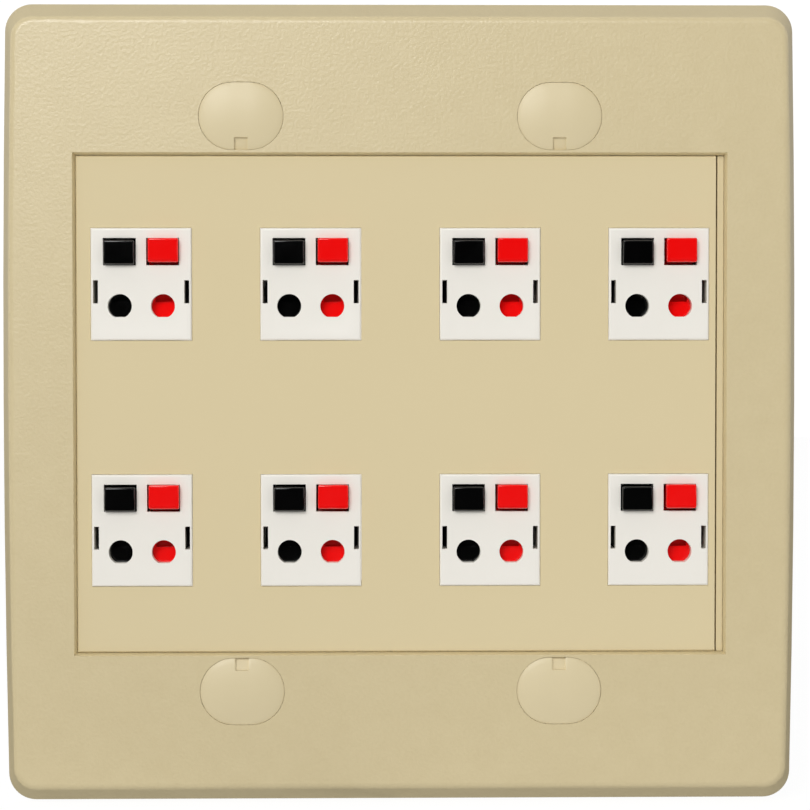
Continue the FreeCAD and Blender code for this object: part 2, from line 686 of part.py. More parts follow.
half_jack_width = s.jack_width / 2
half_jack_height = s.jack_height / 2
inner_half_width = half_jack_width - s.side_wall
inner_half_height = half_jack_height - s.end_wall
lower_face = s.recess_depth
lower_face_back = s.recess_depth + s.face_wall
plug_front = s.jack_depth - s.plug_depth
slot_low = -s.slot_drop - s.slot_height / 2
slot_high = -s.slot_drop + s.slot_height / 2
seat_back = s.seat_front + s.seat_thickness
leg_front = lower_face_back + s.leg_gap


def make_housing(label, across, up):
    body = new_body(label, across, jack_face, up)
    pad(body, "block", FRONT, 0, s.jack_depth, centred(0, 0, s.jack_width, s.jack_height))
    dress("Fillet", body, "face_edge", s.jack_edge, lambda edge: flat_at(edge, 0))
    recess_half = half_jack_width - s.recess_margin
    recess_low = s.recess_foot - half_jack_height
    pocket(body, "lower_zone", SIDE, -recess_half, recess_half,
           polygon((0, s.saddle_top), (s.recess_depth, s.saddle_foot), (s.recess_depth, recess_low),
                   (-s.recess_depth, recess_low), (-s.recess_depth, s.saddle_top)))
    bay = polygon((s.face_wall, s.saddle_top), (lower_face_back, s.saddle_foot),
                  (lower_face_back, -inner_half_height), (s.jack_depth, -inner_half_height),
                  (s.jack_depth, inner_half_height), (s.face_wall, inner_half_height))
    pocket(body, "left_bay", SIDE, -inner_half_width, -s.partition / 2, bay)
    pocket(body, "right_bay", SIDE, s.partition / 2, inner_half_width, bay)
    pocket(body, "plug_room", FRONT, plug_front - s.plug_gap, s.jack_depth,
           centred(0, 0, 2 * inner_half_width, 2 * inner_half_height))
    pocket(body, "button_windows", FRONT, 0, s.face_wall,
           *[centred(side * s.pole_offset, s.window_rise, s.window_width, s.window_height) for side in (-1, 1)])
    pocket(body, "wire_entries", FRONT, 0, lower_face_back,
           *[flat_bottomed_hole(side * s.pole_offset, -s.wire_hole_drop, s.wire_hole_radius, s.wire_hole_flat)
             for side in (-1, 1)])
    pocket(body, "side_slots", FRONT, 0, s.slot_depth,
           *[rectangle(side * s.slot_offset - s.slot_width / 2, side * s.slot_offset + s.slot_width / 2,
                       slot_low, slot_high) for side in (-1, 1)])
    contact_rest = -s.strip_drop - s.strip_thickness / 2 - s.leg_gap / 2
    rest_depth = (s.bend_depth + plug_front) / 2
    pad(body, "contact_rest", SIDE, -inner_half_width, inner_half_width,
        rectangle(rest_depth - s.partition / 2, rest_depth + s.partition / 2, -inner_half_height, contact_rest))
    lug_low = -half_jack_height - s.lug_height
    front_lug_back = s.seat_front - s.seat_gap
    rear_lug_front = seat_back + s.seat_gap
    pad(body, "fixed_lugs", SIDE, -s.lug_width / 2, s.lug_width / 2,
        rectangle(front_lug_back - s.lug_thickness, front_lug_back, lug_low, -half_jack_height),
        rectangle(rear_lug_front, rear_lug_front + s.lug_thickness, lug_low, -half_jack_height))
    arm_low = half_jack_height + s.latch_gap
    arm_high = arm_low + s.latch_thickness
    catch_high = arm_high + s.latch_catch
    root_back = s.latch_root + s.latch_thickness
    grip = s.latch_root + s.latch_length
    pad(body, "latch_arm", SIDE, -s.latch_width / 2, s.latch_width / 2,
        polygon((s.latch_root, half_jack_height), (s.latch_root, arm_high - s.latch_thickness / 3),
                (s.latch_root + s.latch_thickness / 3, arm_high),
                (front_lug_back - 2 * s.latch_catch, arm_high), (front_lug_back - s.latch_catch / 2, catch_high),
                (front_lug_back, catch_high), (front_lug_back, arm_high),
                (grip - 1.8 * s.latch_thickness, arm_high), (grip - s.latch_thickness, arm_high + s.latch_thickness),
                (grip, arm_high + s.latch_thickness), (grip, arm_low), (root_back, arm_low),
                (root_back, half_jack_height)))
    return body


def make_back(label, across, up):
    """Rear cover of a jack: a plate with a plug, slots for the tabs and two barbed side arms."""
    body = new_body(label, across, jack_face, up)
    back_end = s.jack_depth + s.back_thickness
    plug_half_width = inner_half_width - s.plug_gap
    plug_half_height = inner_half_height - s.plug_gap
    pad(body, "plate", FRONT, s.jack_depth, back_end, centred(0, 0, s.jack_width, s.jack_height))
    pad(body, "plug", FRONT, plug_front, s.jack_depth, centred(0, 0, 2 * plug_half_width, 2 * plug_half_height))
    pocket(body, "tab_slots", FRONT, plug_front, back_end,
           *[centred(side * s.pole_offset, -s.strip_drop, s.strip_width + 2 * s.tab_slot_gap,
                     s.strip_thickness + 2 * s.tab_slot_gap) for side in (-1, 1)])
    arm_outer = plug_half_width
    barb_tip = arm_outer + s.barb_height
    barb_back = s.slot_depth - s.barb_gap
    arm = [(arm_outer - s.arm_thickness, plug_front), (arm_outer, plug_front), (arm_outer, barb_back),
           (barb_tip, barb_back), (barb_tip, s.arm_tip + s.barb_ramp), (arm_outer, s.arm_tip),
           (arm_outer - s.arm_thickness, s.arm_tip)]
    pad(body, "side_arms", TOP, slot_low + s.barb_gap, slot_high - s.barb_gap,
        *[polygon(*[(side * place, depth) for place, depth in arm]) for side in (-1, 1)])
    return body


def make_button(label, across, up, side):
    """Push button: a head in its window, a leg with the wire passage and a stem behind."""
    body = new_body(label, across, jack_face, up)
    pole = side * s.pole_offset
    middle = pole + s.button_shift
    centre = s.window_rise + s.button_lift
    head_low = centre - s.button_height / 2
    head_high = centre + s.button_height / 2
    head_front = -s.button_proud
    leg_back = leg_front + s.leg_thickness
    pad(body, "head", SIDE, middle - s.button_width / 2, middle + s.button_width / 2,
        polygon((head_front, head_high), (head_front, head_low + s.button_bevel),
                (head_front + s.button_bevel, head_low), (leg_front, head_low), (leg_front, head_high)))
    dress("Fillet", body, "head_edge", s.button_edge, lambda edge: flat_at(edge, head_front))
    pad(body, "leg", FRONT, leg_front, leg_back,
        rectangle(pole - s.leg_width / 2, pole + s.leg_width / 2, -s.leg_bottom, s.leg_top))
    pocket(body, "wire_passage", FRONT, leg_front, leg_back,
           rectangle(pole - s.passage_width / 2, pole + s.passage_width / 2, -s.passage_bottom, -s.passage_top))
    pad(body, "stem", FRONT, leg_back, s.stem_end, centred(pole, s.window_rise, s.stem_width, s.stem_height))
    return body


def make_contact(label, across, up, side):
    """Spring contact: a strip with a solder tab, bent up into a leaf with a window for the wire."""
    body = new_body(label, across, jack_face, up)
    pole = side * s.pole_offset
    low = -s.strip_drop - s.strip_thickness / 2
    high = -s.strip_drop + s.strip_thickness / 2
    leaf_front = s.bend_depth - s.leaf_lean
    pad(body, "bent_strip", SIDE, pole - s.strip_width / 2, pole + s.strip_width / 2,
        polygon((s.tab_end, low), (s.bend_depth, low), (leaf_front, s.leaf_top),
                (leaf_front + s.strip_thickness, s.leaf_top), (s.bend_depth + s.strip_thickness, high),
                (s.tab_end, high)))

    def corner(depth, height):
        return lambda edge: (flat_at(edge, depth) and near(edge.BoundBox.ZMin, height)
                             and near(edge.BoundBox.ZMax, height))

    dress("Fillet", body, "outer_bend", s.bend_radius + s.strip_thickness, corner(s.bend_depth, low))
    dress("Fillet", body, "inner_bend", s.bend_radius, corner(s.bend_depth + s.strip_thickness, high))
    pocket(body, "wire_window", FRONT, leaf_front, s.bend_depth + s.strip_thickness,
           rectangle(pole - s.passage_width / 2, pole + s.passage_width / 2,
                     -s.passage_bottom - s.leg_gap, -s.passage_top))
    pocket(body, "solder_hole", TOP, low, high,
           circle(pole, s.tab_end - s.tab_hole_inset, s.tab_hole_radius))
    return body


# The whole assembly: what repeats is made once, and the rest are clones of it

pieces = [make_frame(), make_centre_panel()]

cap_names = ["cap_upper_left", "cap_upper_right", "cap_lower_left", "cap_lower_right"]
screws = []
for number, (across, up) in enumerate(screw_places):
    if number == 0:
        first_cap = make_cap(cap_names[0], across, up)
        first_screw = make_screw("screw_1", across, up)
        pieces.append(first_cap)
        screws.append(first_screw)
    else:
        pieces.append(clone_of(first_cap, cap_names[number], across, front_face, up, up.number < 0))
        screws.append(clone_of(first_screw, f"screw_{number + 1}", across, pocket_floor_front, up))
screw_group = doc.addObject("Part::Compound", "mounting_screws")
screw_group.Label = "mounting_screws"
screw_group.Links = screws
pieces.append(screw_group)

JACK_PIECES = [
    ("housing", make_housing, ()),
    ("back", make_back, ()),
    ("black_button", make_button, (-1,)),
    ("red_button", make_button, (1,)),
    ("black_contact", make_contact, (-1,)),
    ("red_contact", make_contact, (1,)),
]
first_jack = {}
for number, (across, up) in enumerate(jack_places, start=1):
    for piece_name, make, pole in JACK_PIECES:
        label = f"jack_{number}_{piece_name}"
        if number == 1:
            first_jack[piece_name] = make(label, across, up, *pole)
            pieces.append(first_jack[piece_name])
        else:
            pieces.append(clone_of(first_jack[piece_name], label, across, jack_face, up))
doc.recompute()

# Every object has to be sound, and every cut has to take material away

for item in doc.Objects:
    if "Invalid" in item.State or "Error" in item.State:
        raise RuntimeError(f"{item.Name} did not build: {item.State}")
    if item.TypeId == "PartDesign::Pocket" and item.Shape.Volume > item.BaseFeature.Shape.Volume - 0.001:
        raise RuntimeError(f"{item.Name} cuts nothing")
for piece in pieces:
    if piece.Shape.isNull() or not piece.Shape.isValid():
        raise RuntimeError(f"{piece.Label} has no valid shape")

os.makedirs("parts", exist_ok=True)
for piece in pieces:
    piece.Shape.exportStep(os.path.join("parts", f"{piece.Label}.step"))
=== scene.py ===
from math import pi, radians

import bpy
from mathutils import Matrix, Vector


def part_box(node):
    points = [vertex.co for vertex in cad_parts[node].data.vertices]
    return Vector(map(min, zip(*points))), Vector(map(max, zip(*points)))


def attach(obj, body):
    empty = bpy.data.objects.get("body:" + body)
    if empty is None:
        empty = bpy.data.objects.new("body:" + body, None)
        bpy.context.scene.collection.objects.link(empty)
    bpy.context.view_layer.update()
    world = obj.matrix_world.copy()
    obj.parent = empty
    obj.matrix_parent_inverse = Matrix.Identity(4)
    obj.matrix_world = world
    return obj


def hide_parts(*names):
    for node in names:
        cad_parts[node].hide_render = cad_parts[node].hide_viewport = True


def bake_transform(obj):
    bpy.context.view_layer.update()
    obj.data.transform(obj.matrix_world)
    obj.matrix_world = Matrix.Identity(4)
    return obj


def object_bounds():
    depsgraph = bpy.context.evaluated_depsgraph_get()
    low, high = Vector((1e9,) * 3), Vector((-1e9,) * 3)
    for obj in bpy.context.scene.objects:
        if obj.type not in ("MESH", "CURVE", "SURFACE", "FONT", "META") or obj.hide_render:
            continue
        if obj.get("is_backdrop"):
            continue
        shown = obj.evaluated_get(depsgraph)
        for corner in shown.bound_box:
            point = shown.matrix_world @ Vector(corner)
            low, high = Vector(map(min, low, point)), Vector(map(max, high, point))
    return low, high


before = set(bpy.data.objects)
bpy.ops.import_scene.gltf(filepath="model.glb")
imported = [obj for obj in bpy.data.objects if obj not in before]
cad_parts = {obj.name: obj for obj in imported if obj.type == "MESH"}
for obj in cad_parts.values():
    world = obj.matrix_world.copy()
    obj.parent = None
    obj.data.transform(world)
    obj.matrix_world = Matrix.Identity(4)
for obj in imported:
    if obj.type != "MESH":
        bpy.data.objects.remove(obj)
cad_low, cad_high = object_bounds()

mm = 0.001

# Outer frame: one ABS moulding with leaning, softly rounded walls. The walls of its opening lean down to the
# panel. Its mould is spark-eroded, which leaves a fine even grain, and every sharp edge is a small radius.

frame_edge = 0.14 * mm
opening_corner = (47.1, -5.6, 36.2)
opening_bevel_foot = -5.7
opening_drop = 0.43
ivory_light = (0.700, 0.590, 0.345)
ivory_dark = (0.625, 0.515, 0.290)
facet_limit = radians(0.1)
crease = radians(32)


def activate(piece):
    """Leaves the one piece selected and active, so that operators act on nothing else."""
    bpy.ops.object.select_all(action="DESELECT")
    piece.select_set(True)
    bpy.context.view_layer.objects.active = piece


def smooth_and_weight(piece):
    """Smooth shading up to the crease angle, with flat faces kept flat beside rounded ones."""
    activate(piece)
    bpy.ops.object.shade_smooth_by_angle(angle=crease)
    weighting = piece.modifiers.new("even_shading", "WEIGHTED_NORMAL")
    weighting.mode = "FACE_AREA"
    weighting.weight = 60
    weighting.keep_sharp = True
    bpy.ops.object.modifier_apply(modifier=weighting.name)


def merged(node, name):
    """A mesh of the node's own form, with its corners merged."""
    piece = bpy.data.objects.new(name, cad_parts[node].data.copy())
    bpy.context.scene.collection.objects.link(piece)
    activate(piece)
    bpy.ops.mesh.customdata_custom_splitnormals_clear()
    bpy.ops.object.mode_set(mode="EDIT")
    bpy.ops.mesh.select_all(action="SELECT")
    bpy.ops.mesh.remove_doubles(threshold=0.001 * mm)
    bpy.ops.object.mode_set(mode="OBJECT")
    return piece


def shift_corners(piece, low, high, move):
    """Moves the corners of a piece that lie in a box. The box and the way are in mm."""
    for corner in piece.data.vertices:
        place = corner.co / mm
        if all(low[axis] <= place[axis] <= high[axis] for axis in range(3)):
            corner.co += Vector(move) * mm


def rounded(piece, edge, segments=2):
    """Whole faces where facets lie in one plane, and a small radius on every sharp edge."""
    activate(piece)
    bpy.ops.object.mode_set(mode="EDIT")
    bpy.ops.mesh.select_all(action="SELECT")
    bpy.ops.mesh.dissolve_limited(angle_limit=facet_limit)
    bpy.ops.object.mode_set(mode="OBJECT")
    rounding = piece.modifiers.new("rounding", "BEVEL")
    rounding.width = edge
    rounding.segments = segments
    rounding.limit_method = "ANGLE"
    rounding.angle_limit = crease
    rounding.harden_normals = False
    bpy.ops.object.modifier_apply(modifier=rounding.name)
    smooth_and_weight(piece)
    return piece


def join_pieces(piece, *others):
    """Takes the other pieces' meshes into the first."""
    activate(piece)
    for other in others:
        other.select_set(True)
    bpy.ops.object.join()


def finish_piece(piece, material, body, node):
    """Gives a piece its material, hangs it on its body when it has one, and hides the CAD node it stands for.
    """
    piece.data.materials.clear()
    piece.data.materials.append(material)
    if body:
        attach(piece, body)
    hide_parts(node)


def moulded_plastic(name, light, dark, patch, roughness, grain, depth, waviness):
    """Moulded plastic: two close tones in patches, a grain of a real size and depth, and slight waves."""
    material = bpy.data.materials.new(name)
    material.use_nodes = True
    nodes, links = material.node_tree.nodes, material.node_tree.links
    shader = nodes["Principled BSDF"]
    place = nodes.new("ShaderNodeTexCoord").outputs["Object"]

    def noise(size, detail):
        texture = nodes.new("ShaderNodeTexNoise")
        texture.inputs["Scale"].default_value = 1 / size
        texture.inputs["Detail"].default_value = detail
        links.new(place, texture.inputs["Vector"])
        return texture.outputs["Fac"]

    grains = noise(grain, 2.0)
    tone = nodes.new("ShaderNodeMix")
    tone.data_type = "RGBA"
    tone.inputs["A"].default_value = (*dark, 1)
    tone.inputs["B"].default_value = (*light, 1)
    blend = nodes.new("ShaderNodeMath")
    blend.operation = "MULTIPLY_ADD"
    blend.inputs[1].default_value = 0.5
    links.new(noise(patch, 3.0), blend.inputs[0])
    half = nodes.new("ShaderNodeMath")
    half.operation = "MULTIPLY"
    half.inputs[1].default_value = 0.5
    links.new(grains, half.inputs[0])
    links.new(half.outputs[0], blend.inputs[2])
    links.new(blend.outputs[0], tone.inputs["Factor"])
    links.new(tone.outputs["Result"], shader.inputs["Base Color"])

    gloss = nodes.new("ShaderNodeMapRange")
    gloss.inputs["To Min"].default_value = roughness - 0.06
    gloss.inputs["To Max"].default_value = roughness + 0.06
    links.new(noise(patch / 2, 2.0), gloss.inputs["Value"])
    links.new(gloss.outputs["Result"], shader.inputs["Roughness"])

    fine = nodes.new("ShaderNodeBump")
    fine.inputs["Distance"].default_value = depth
    links.new(grains, fine.inputs["Height"])
    waves = nodes.new("ShaderNodeBump")
    waves.inputs["Distance"].default_value = waviness
    links.new(noise(6 * mm, 1.0), waves.inputs["Height"])
    links.new(waves.outputs["Normal"], fine.inputs["Normal"])
    links.new(fine.outputs["Normal"], shader.inputs["Normal"])
    return material


textured_ivory = moulded_plastic("textured_ivory_abs", ivory_light, ivory_dark, patch=4 * mm,
                                 roughness=0.40, grain=0.50 * mm, depth=0.05 * mm, waviness=0.02 * mm)
textured_ivory.node_tree.nodes["Principled BSDF"].inputs["Specular IOR Level"].default_value = 0.9
outer_frame = merged("frame", "outer_frame")
shift_corners(outer_frame, (-opening_corner[0], opening_bevel_foot, -opening_corner[2]), opening_corner,
              (0, opening_drop, 0))
rounded(outer_frame, frame_edge)
finish_piece(outer_frame, textured_ivory, "plate", "frame")

# Box screws: zinc-plated steel with slotted heads and rolled threads. They sit on the floors of the frame's
# pockets, under the caps, and hold the plate to its wall box.

zinc = (0.62, 0.62, 0.60)
head_radius = 3.45 * mm
head_height = 1.5 * mm
head_bevel = 0.5 * mm
driver_slot = (8.0 * mm, 1.0 * mm, 0.8 * mm)
thread_radius = 1.75 * mm
core_radius = 1.38 * mm
thread_pitch = 0.794 * mm
thread_half_width = 0.45 * thread_pitch
thread_bite = 0.02 * mm
tip_length = 0.7 * mm
round_steps = 40
screw_edge = 0.06 * mm


def plated_metal(name, colour, roughness, grain):
    """Plated metal: a cloudy tone and gloss, with clouds of a real size."""
    material = bpy.data.materials.new(name)
    material.use_nodes = True
    nodes, links = material.node_tree.nodes, material.node_tree.links
    shader = nodes["Principled BSDF"]
    shader.inputs["Metallic"].default_value = 1.0
    place = nodes.new("ShaderNodeTexCoord").outputs["Object"]
    cloud = nodes.new("ShaderNodeTexNoise")
    cloud.inputs["Scale"].default_value = 1 / grain
    cloud.inputs["Detail"].default_value = 3.0
    links.new(place, cloud.inputs["Vector"])
    tone = nodes.new("ShaderNodeMix")
    tone.data_type = "RGBA"
    tone.inputs["A"].default_value = (*[0.8 * part for part in colour], 1)
    tone.inputs["B"].default_value = (*colour, 1)
    links.new(cloud.outputs["Fac"], tone.inputs["Factor"])
    links.new(tone.outputs["Result"], shader.inputs["Base Color"])
    gloss = nodes.new("ShaderNodeMapRange")
    gloss.inputs["To Min"].default_value = roughness - 0.08
    gloss.inputs["To Max"].default_value = roughness + 0.08
    links.new(cloud.outputs["Fac"], gloss.inputs["Value"])
    links.new(gloss.outputs["Result"], shader.inputs["Roughness"])
    return material


def turned(name, stations):
    """A turned form along Y: a disc, extruded and scaled from one (depth, radius) station to the next."""
    bpy.ops.object.select_all(action="DESELECT")
    depth, radius = stations[0]
    bpy.ops.mesh.primitive_circle_add(vertices=round_steps, radius=radius, fill_type="NGON",
                                      location=(0, depth, 0), rotation=(pi / 2, 0, 0))
    piece = bpy.context.active_object
    piece.name = name
    bpy.ops.object.transform_apply(location=True, rotation=True, scale=True)
    bpy.ops.object.mode_set(mode="EDIT")
    bpy.ops.mesh.select_all(action="SELECT")
    for next_depth, next_radius in stations[1:]:
        bpy.ops.mesh.extrude_region_move(TRANSFORM_OT_translate={"value": (0, next_depth - depth, 0)})
        scale = next_radius / radius
        bpy.ops.transform.resize(value=(scale, 1, scale), center_override=(0, next_depth, 0))
        depth, radius = next_depth, next_radius
    bpy.ops.mesh.select_all(action="SELECT")
    bpy.ops.mesh.normals_make_consistent(inside=False)
    bpy.ops.object.mode_set(mode="OBJECT")
    return piece


def cut_slot(piece, size, front):
    """A straight slot of the given length, width and depth across the front of a piece."""
    length, width, depth = size
    bpy.ops.object.select_all(action="DESELECT")
    bpy.ops.mesh.primitive_cube_add(size=1, location=(0, front, 0), scale=(length, 2 * depth, width))
    cutter = bpy.context.active_object
    activate(piece)
    cut = piece.modifiers.new("slot", "BOOLEAN")
    cut.operation = "DIFFERENCE"
    cut.object = cutter
    bpy.ops.object.modifier_apply(modifier=cut.name)
    bpy.data.objects.remove(cutter)


def thread_ridge(name, start, end):
    """The rolled ridge of a thread: a three-cornered profile, screwed along Y and closed at both ends."""
    bpy.ops.object.select_all(action="DESELECT")
    bpy.ops.mesh.primitive_circle_add(vertices=3, radius=thread_pitch / 2, location=(core_radius, start, 0),
                                      rotation=(0, 0, -pi / 2))
    ridge = bpy.context.active_object
    ridge.name = name
    crest = max(ridge.data.vertices, key=lambda corner: (ridge.matrix_world @ corner.co).x)
    bpy.ops.object.transform_apply(location=True, rotation=True, scale=True)
    for corner in ridge.data.vertices:
        side = 1 if corner.co.y > start else -1
        is_crest = corner.index == crest.index
        corner.co.x = thread_radius if is_crest else core_radius - thread_bite
        corner.co.y = start if is_crest else start + side * thread_half_width
    winding = ridge.modifiers.new("winding", "SCREW")
    winding.axis = "Y"
    winding.screw_offset = thread_pitch
    winding.iterations = int((end - start) / thread_pitch)
    winding.steps = round_steps // 2
    winding.render_steps = round_steps // 2
    activate(ridge)
    bpy.ops.object.modifier_apply(modifier=winding.name)
    bpy.ops.object.mode_set(mode="EDIT")
    bpy.ops.mesh.select_all(action="DESELECT")
    bpy.ops.mesh.select_non_manifold()
    bpy.ops.mesh.edge_face_add()
    bpy.ops.mesh.select_all(action="SELECT")
    bpy.ops.mesh.normals_make_consistent(inside=False)
    bpy.ops.object.mode_set(mode="OBJECT")
    return ridge


zinc_plating = plated_metal("zinc_plating", zinc, 0.32, 0.6 * mm)
screws_low, screws_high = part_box("mounting_screws")
head_front = screws_low.y
head_back = head_front + head_height
screw_tip = screws_high.y
screws = turned("box_screws", [
    (head_front, head_radius - head_bevel),
    (head_front + head_bevel, head_radius),
    (head_back, head_radius),
    (head_back, core_radius),
    (screw_tip - tip_length, core_radius),
    (screw_tip, core_radius - 0.5 * tip_length),
])
cut_slot(screws, driver_slot, head_front)
rounded(screws, screw_edge, 1)
ridge = thread_ridge("thread", head_back + thread_pitch, screw_tip - tip_length)
smooth_and_weight(ridge)
join_pieces(screws, ridge)
across = screws_high.x - head_radius
up = screws_high.z - head_radius
first_screw = screws.data.copy()
copies = []
for x, z in ((-across, up), (across, up), (-across, -up), (across, -up)):
    copy = bpy.data.objects.new("screw", first_screw.copy())
    bpy.context.scene.collection.objects.link(copy)
    copy.location = (x, 0, z)
    activate(copy)
    bpy.ops.object.transform_apply(location=True, rotation=False, scale=False)
    copies.append(copy)
bpy.data.objects.remove(screws)
join_pieces(*copies)
screws = bpy.context.active_object
screws.name = "box_screws"
finish_piece(screws, zinc_plating, "plate", "mounting_screws")

# Centre panel: a smooth, matt ivory plate that snaps into the frame. Its eight openings hold the jacks, and
# the wells behind them carry the ledges that the jacks latch on. A lower margin runs along its right side.

panel_edge = 0.06 * mm
margin_middle = (46.5 * mm, -4.15 * mm, 0)
margin_size = (0.92 * mm, 1.4 * mm, 72.1 * mm)
plate_front, plate_back = -5.3, -3.3
side_moves = [
    (-47, -46.8, -0.06),
    (-46.75, -46.6, -0.06),
    (46.2, 46.4, -0.2),
    (46.05, 46.15, -0.3),
]
end_zone = (35.7, 36.0)
end_move = 0.1

smooth_ivory = moulded_plastic("smooth_ivory_abs", (0.712, 0.604, 0.372), (0.690, 0.583, 0.355), patch=9 * mm,
                               roughness=0.75, grain=0.25 * mm, depth=0.003 * mm, waviness=0.03 * mm)
smooth_ivory.node_tree.nodes["Principled BSDF"].inputs["Specular IOR Level"].default_value = 0.2


def block(name, middle, size):
    """A plain block with its middle and size in place."""
    bpy.ops.object.select_all(action="DESELECT")
    bpy.ops.mesh.primitive_cube_add(size=1, location=middle, scale=size)
    piece = bpy.context.active_object
    piece.name = name
    bpy.ops.object.transform_apply(location=True, rotation=False, scale=True)
    return piece


jack_panel = merged("centre_panel", "jack_panel")
for low_x, high_x, move in side_moves:
    shift_corners(jack_panel, (low_x, plate_front, -36), (high_x, plate_back, 36), (move, 0, 0))
for side in (-1, 1):
    low_z, high_z = sorted(side * place for place in end_zone)
    shift_corners(jack_panel, (-47.1, plate_front, low_z), (47.1, plate_back, high_z),
                  (0, 0, side * end_move))
join_pieces(jack_panel, block("panel_margin", margin_middle, margin_size))
rounded(jack_panel, panel_edge)
finish_piece(jack_panel, smooth_ivory, "plate", "centre_panel")

# Jack housings: glossy white ABS, with two windows for the buttons, a slightly lower zone with soft borders
# under them, two wire entries with flat feet and a slot at each side.

housing_edge = 0.06 * mm
jacks = range(1, 9)
face_front, face_back = -5.7, -5.2
zone_depths = (-5.01, -4.99)
zone_front = -5.5
zone_foot, zone_top = -7.5, 0.6
zone_half_width = 6.1
zone_rise = 0.35
side_slope = 0.9
foot_slope = 0.8
face_growth = 0.075

white_plastic = moulded_plastic("white_abs", (0.880, 0.850, 0.780), (0.860, 0.828, 0.752), patch=5 * mm,
                                roughness=0.35, grain=0.2 * mm, depth=0.002 * mm, waviness=0.03 * mm)


def jack_middle(number):
    """The middle of a jack's face, in mm."""
    low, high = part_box(f"jack_{number}_back")
    return (low.x + high.x) / 2 / mm, (low.z + high.z) / 2 / mm


for number in jacks:
    housing = merged(f"jack_{number}_housing", f"jack_{number}_white_body")
    x, z = jack_middle(number)
    left, right = x - zone_half_width, x + zone_half_width
    shift_corners(housing, (left, zone_depths[0], z + zone_foot), (right, zone_depths[1], z + zone_top),
                  (0, -zone_rise, 0))
    shift_corners(housing, (left, zone_front, z + zone_foot), (right, face_back, z + zone_foot + 0.2),
                  (0, 0, foot_slope))
    for side in (-1, 1):
        low_x, high_x = sorted((x + side * (zone_half_width - 0.15), x + side * zone_half_width))
        shift_corners(housing, (low_x, zone_front, z + zone_foot), (high_x, face_back, z + zone_top),
                      (-side * side_slope, 0, 0))
        low_x, high_x = sorted((x + side * 6.8, x + side * 7.3))
        shift_corners(housing, (low_x, face_front, z - 9), (high_x, face_back, z + 9),
                      (side * face_growth, 0, 0))
        low_z, high_z = sorted((z + side * 7.6, z + side * 8.1))
        shift_corners(housing, (x - 8, face_front, low_z), (x + 8, face_back, high_z),
                      (0, 0, side * face_growth))
    rounded(housing, housing_edge)
    finish_piece(housing, white_plastic, "plate", f"jack_{number}_housing")

# Push buttons: gloss black and red plastic. The head stands out of its window, and the leg behind the face is
# what shows through the wire entry below. At rest a lip closes the leg's passage for the wire.

button_edge = 0.26 * mm
leg_edge = 0.06 * mm
button_gloss = {"roughness": 0.12, "grain": 0.2 * mm, "depth": 0.001 * mm, "waviness": 0.03 * mm}
foot_radius = 0.6 * mm
head_size = (4.4 * mm, 3.45 * mm, 3.5 * mm)
head_middle = -5.075 * mm
head_places = {"black": (-3.12, 4.58), "red": (3.24, 4.89)}
head_root = -3.5 * mm
lip_places = {"black": -3.12, "red": 3.12}
lip_depth = -1.8 * mm
lip_drop = 1.825
lip_size = (2.5 * mm, 0.7 * mm, 1.6 * mm)


def delete_corners(piece, front):
    """Deletes what lies in front of a depth, and closes the hole with one face."""
    activate(piece)
    bpy.ops.object.mode_set(mode="EDIT")
    bpy.ops.mesh.select_mode(type="VERT")
    bpy.ops.mesh.select_all(action="DESELECT")
    bpy.ops.object.mode_set(mode="OBJECT")
    for corner in piece.data.vertices:
        corner.select = corner.co.y < front
    bpy.ops.object.mode_set(mode="EDIT")
    bpy.ops.mesh.delete(type="VERT")
    bpy.ops.mesh.select_non_manifold()
    bpy.ops.mesh.edge_face_add()
    bpy.ops.object.mode_set(mode="OBJECT")


def push_head(name, x, z):
    """The head of a button: a block with a quarter-round foot and softly rounded other edges."""
    head = block(name, (x, head_middle, z), head_size)
    front = head_middle - head_size[1] / 2
    foot = z - head_size[2] / 2
    bpy.ops.object.mode_set(mode="EDIT")
    bpy.ops.mesh.select_mode(type="EDGE")
    bpy.ops.mesh.select_all(action="DESELECT")
    bpy.ops.object.mode_set(mode="OBJECT")
    for edge in head.data.edges:
        ends = [head.data.vertices[index].co for index in edge.vertices]
        edge.select = all(abs(end.y - front) < 0.01 * mm and abs(end.z - foot) < 0.01 * mm for end in ends)
    bpy.ops.object.mode_set(mode="EDIT")
    bpy.ops.mesh.bevel(offset=foot_radius, segments=5, affect="EDGES")
    bpy.ops.mesh.select_mode(type="VERT")
    bpy.ops.object.mode_set(mode="OBJECT")
    return rounded(head, button_edge, 4)


button_plastics = {
    "black": moulded_plastic("gloss_black_plastic", (0.0012, 0.0012, 0.0012), (0.0008, 0.0008, 0.0008),
                             patch=4 * mm, **button_gloss),
    "red": moulded_plastic("gloss_red_plastic", (0.93, 0.004, 0.004), (0.88, 0.003, 0.003),
                           patch=4 * mm, **button_gloss),
}
for number in jacks:
    x, z = jack_middle(number)
    for colour, plastic in button_plastics.items():
        node = f"jack_{number}_{colour}_button"
        button = merged(node, f"jack_{number}_{colour}_push_button")
        delete_corners(button, head_root)
        rounded(button, leg_edge)
        head_x, head_z = head_places[colour]
        head = push_head(f"{node}_head", (x + head_x) * mm, (z + head_z) * mm)
        lip_middle = ((x + lip_places[colour]) * mm, lip_depth, (z - lip_drop) * mm)
        join_pieces(button, head, block(f"{node}_lip", lip_middle, lip_size))
        finish_piece(button, plastic, node, node)

# Spring contacts: tinned bronze strip, bent up into a leaf behind each button, with a solder tab that passes
# out through the back. In the real jack, pressing the button bends the leaf; these pieces stay fixed.

strip_edge = 0.05 * mm

tinned_bronze = plated_metal("tinned_bronze", (0.72, 0.70, 0.65), 0.28, 0.8 * mm)
for number in jacks:
    for colour in button_plastics:
        node = f"jack_{number}_{colour}_contact"
        strip = rounded(merged(node, f"jack_{number}_{colour}_spring"), strip_edge, 1)
        finish_piece(strip, tinned_bronze, None, node)
        low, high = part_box(node)
        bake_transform(strip)

